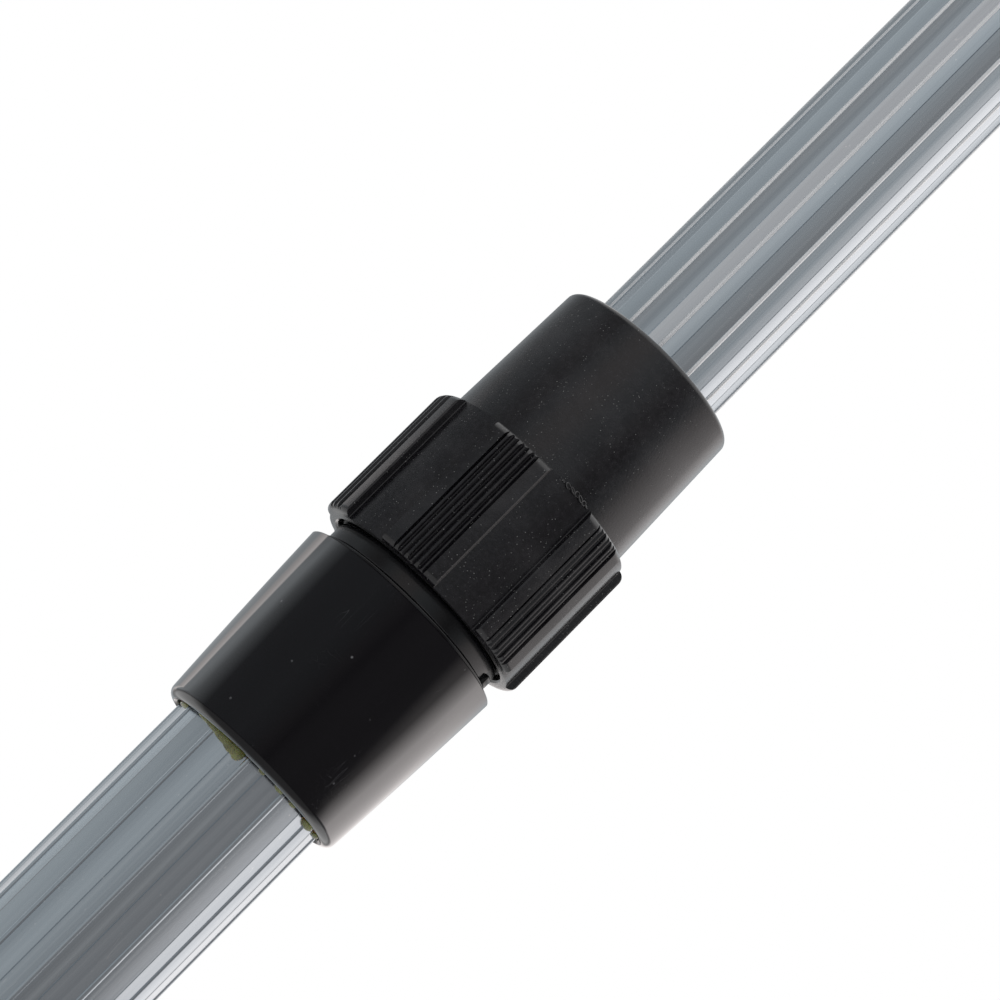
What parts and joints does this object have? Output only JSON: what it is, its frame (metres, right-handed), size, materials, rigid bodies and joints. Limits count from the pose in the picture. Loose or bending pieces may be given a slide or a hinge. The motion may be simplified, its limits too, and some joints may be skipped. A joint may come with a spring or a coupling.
{
  "type": "window cleaning pole",
  "caption": "Telescopic fluted aluminium window cleaning pole with an outer tube, a sliding inner tube, a twist lock, a hand grip with a hanging eye and a threaded cone tip for tools.",
  "frame": {"origin": "middle of the flat foot under the end cap, at the pole's hand end", "axes": "+Z along the pole from the hand end to the tip; -Y is the front, the side with the nut's stop lug to its right"},
  "size_m": [0.0414, 0.0414, 0.8816],
  "materials": {
    "fluted_aluminium": "extruded mill finish with fine lengthwise draw lines",
    "gloss_black": "high gloss black",
    "satin_black": "satin moulded black with a fine speckle",
    "moulded_black": "plain moulded black",
    "soft_grip": "soft matt black",
    "black_rubber": "matt black",
    "dried_glue": "clear olive yellow, dried in lumps",
    "rivet_aluminium": "plain",
    "zinc_steel": "zinc plated"
  },
  "bodies": {
    "outer_section": {"outer_tube": "fluted_aluminium", "end_cap": "moulded_black", "end_cap_screw_left": "zinc_steel", "end_cap_screw_right": "zinc_steel", "handle_grip": "soft_grip", "collar": "gloss_black", "collar_glue": "dried_glue", "lock_body": "moulded_black", "neck_o_ring": "black_rubber"},
    "clamp": {"clamp_ring": "moulded_black"},
    "nut": {"lock_nut": "satin_black"},
    "inner_section": {"inner_tube": "fluted_aluminium", "guide_bush": "moulded_black", "foot_plug": "moulded_black", "bush_rivet_left": "rivet_aluminium", "bush_rivet_right": "rivet_aluminium", "tip_socket": "moulded_black", "tip_socket_screw_left": "zinc_steel", "tip_socket_screw_right": "zinc_steel", "tip_cone": "moulded_black", "tip_bolt": "zinc_steel", "tip_nut": "zinc_steel"}
  },
  "joints": [
    {"name": "inner_slide", "type": "slide", "parent": "outer_section", "child": "inner_section", "axis": [0, 0, 1], "range_m": [-0.095, 0.378]},
    {"name": "clamp_slide", "type": "slide", "parent": "outer_section", "child": "clamp", "axis": [0, 0, 1], "range_m": [0, 0.0021]},
    {"name": "nut_twist", "type": "hinge", "parent": "clamp", "child": "nut", "pos_m": [0, 0, 0.6635], "axis": [0, 0, 1], "range_deg": [0, 180]}
  ],
  "couplings": [
    {"joint": "clamp_slide", "follows": "nut_twist", "m_per_rad": 0.00063662}
  ]
}
